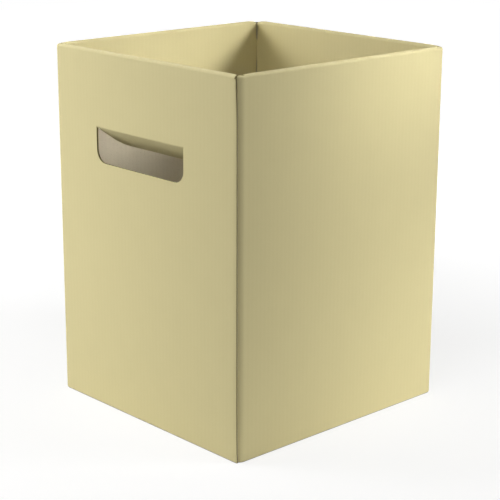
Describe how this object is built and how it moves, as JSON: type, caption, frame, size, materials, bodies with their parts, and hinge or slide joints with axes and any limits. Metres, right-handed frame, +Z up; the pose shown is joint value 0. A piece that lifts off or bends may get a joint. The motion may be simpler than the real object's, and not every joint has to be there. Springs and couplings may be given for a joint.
{
  "type": "hand-hole carton",
  "caption": "Tall open-topped carton of coloured micro-flute board with a turned-in rim, push-in hand holes and a self-locking folding base.",
  "frame": {"origin": "centre of the carton's base, on the floor", "axes": "+Z up, -Y out of the front wall, which has the glued seam at its right edge, +X out of the right wall"},
  "size_m": [0.1808, 0.1838, 0.2425],
  "materials": {
    "coloured_liner": "matt khaki-cream paper face with faint vertical flutes",
    "raw_liner": "matt raw grey-brown paper face"
  },
  "bodies": {
    "front": {"front_wall": "coloured_liner", "front_rim_fold": "coloured_liner", "front_left_corner": "coloured_liner", "glue_flap": "raw_liner"},
    "left": {"left_wall": "coloured_liner", "left_rim_fold": "coloured_liner", "left_back_corner": "coloured_liner"},
    "back": {"back_wall": "coloured_liner", "back_rim_fold": "coloured_liner", "back_right_corner": "coloured_liner"},
    "right": {"right_wall": "coloured_liner", "right_rim_fold": "coloured_liner", "seam_corner": "coloured_liner"},
    "front_lining": {"front_rim_lining": "coloured_liner"},
    "left_lining": {"left_rim_lining": "coloured_liner"},
    "back_lining": {"back_rim_lining": "coloured_liner"},
    "right_lining": {"right_rim_lining": "coloured_liner"},
    "front_hand_flap": {"front_hand_flap": "coloured_liner"},
    "back_hand_flap": {"back_hand_flap": "coloured_liner"},
    "front_base_flap": {"front_base_flap": "raw_liner", "front_glue_tab": "raw_liner"},
    "back_base_flap": {"back_base_flap": "raw_liner", "back_glue_tab": "raw_liner"},
    "left_base_flap": {"left_base_flap": "raw_liner"},
    "right_base_flap": {"right_base_flap": "raw_liner"}
  },
  "joints": [
    {"name": "flatten", "type": "hinge", "parent": "front", "child": "left", "pos_m": [-0.0862, -0.0877, 0], "axis": [0, 0, 1], "range_deg": [0, 60], "deforming": ["front_left_corner"]},
    {"name": "left_back_crease", "type": "hinge", "parent": "left", "child": "back", "pos_m": [-0.0862, 0.0877, 0], "axis": [0, 0, 1], "range_deg": [-60, 0], "deforming": ["left_back_corner"]},
    {"name": "back_right_crease", "type": "hinge", "parent": "back", "child": "right", "pos_m": [0.0862, 0.0877, 0], "axis": [0, 0, 1], "range_deg": [0, 60], "deforming": ["back_right_corner"]},
    {"name": "front_lining_fold", "type": "hinge", "parent": "front", "child": "front_lining", "pos_m": [0, -0.0898, 0.2404], "axis": [1, 0, 0], "range_deg": [0, 180], "deforming": ["front_rim_fold"]},
    {"name": "right_lining_fold", "type": "hinge", "parent": "right", "child": "right_lining", "pos_m": [0.0883, 0, 0.2404], "axis": [0, 1, 0], "range_deg": [0, 180], "deforming": ["right_rim_fold"]},
    {"name": "back_lining_fold", "type": "hinge", "parent": "back", "child": "back_lining", "pos_m": [0, 0.0898, 0.2404], "axis": [-1, 0, 0], "range_deg": [0, 180], "deforming": ["back_rim_fold"]},
    {"name": "left_lining_fold", "type": "hinge", "parent": "left", "child": "left_lining", "pos_m": [-0.0883, 0, 0.2404], "axis": [0, -1, 0], "range_deg": [0, 180], "deforming": ["left_rim_fold"]},
    {"name": "front_hand_flap_push", "type": "hinge", "parent": "front", "child": "front_hand_flap", "pos_m": [-0.003, -0.0904, 0.1931], "axis": [1, 0, 0], "range_deg": [-55, 55]},
    {"name": "back_hand_flap_push", "type": "hinge", "parent": "back", "child": "back_hand_flap", "pos_m": [0, 0.0904, 0.1931], "axis": [-1, 0, 0], "range_deg": [-55, 55]},
    {"name": "front_base_flap_crease", "type": "hinge", "parent": "front", "child": "front_base_flap", "pos_m": [0, -0.0883, 0.0036], "axis": [1, 0, 0], "range_deg": [0, 90]},
    {"name": "right_base_flap_crease", "type": "hinge", "parent": "right", "child": "right_base_flap", "pos_m": [0.0877, 0, 0.0018], "axis": [0, 1, 0], "range_deg": [0, 90]},
    {"name": "back_base_flap_crease", "type": "hinge", "parent": "back", "child": "back_base_flap", "pos_m": [0, 0.0883, 0.0036], "axis": [-1, 0, 0], "range_deg": [0, 90]},
    {"name": "left_base_flap_crease", "type": "hinge", "parent": "left", "child": "left_base_flap", "pos_m": [-0.0877, 0, 0.0018], "axis": [0, -1, 0], "range_deg": [0, 90]}
  ],
  "couplings": [
    {"joint": "left_back_crease", "follows": "flatten", "ratio": -1},
    {"joint": "back_right_crease", "follows": "flatten", "ratio": 1},
    {"joint": "front_base_flap_crease", "follows": "flatten", "ratio": 1.5},
    {"joint": "right_base_flap_crease", "follows": "flatten", "ratio": 1.5},
    {"joint": "back_base_flap_crease", "follows": "flatten", "ratio": 1.5},
    {"joint": "left_base_flap_crease", "follows": "flatten", "ratio": 1.5}
  ]
}
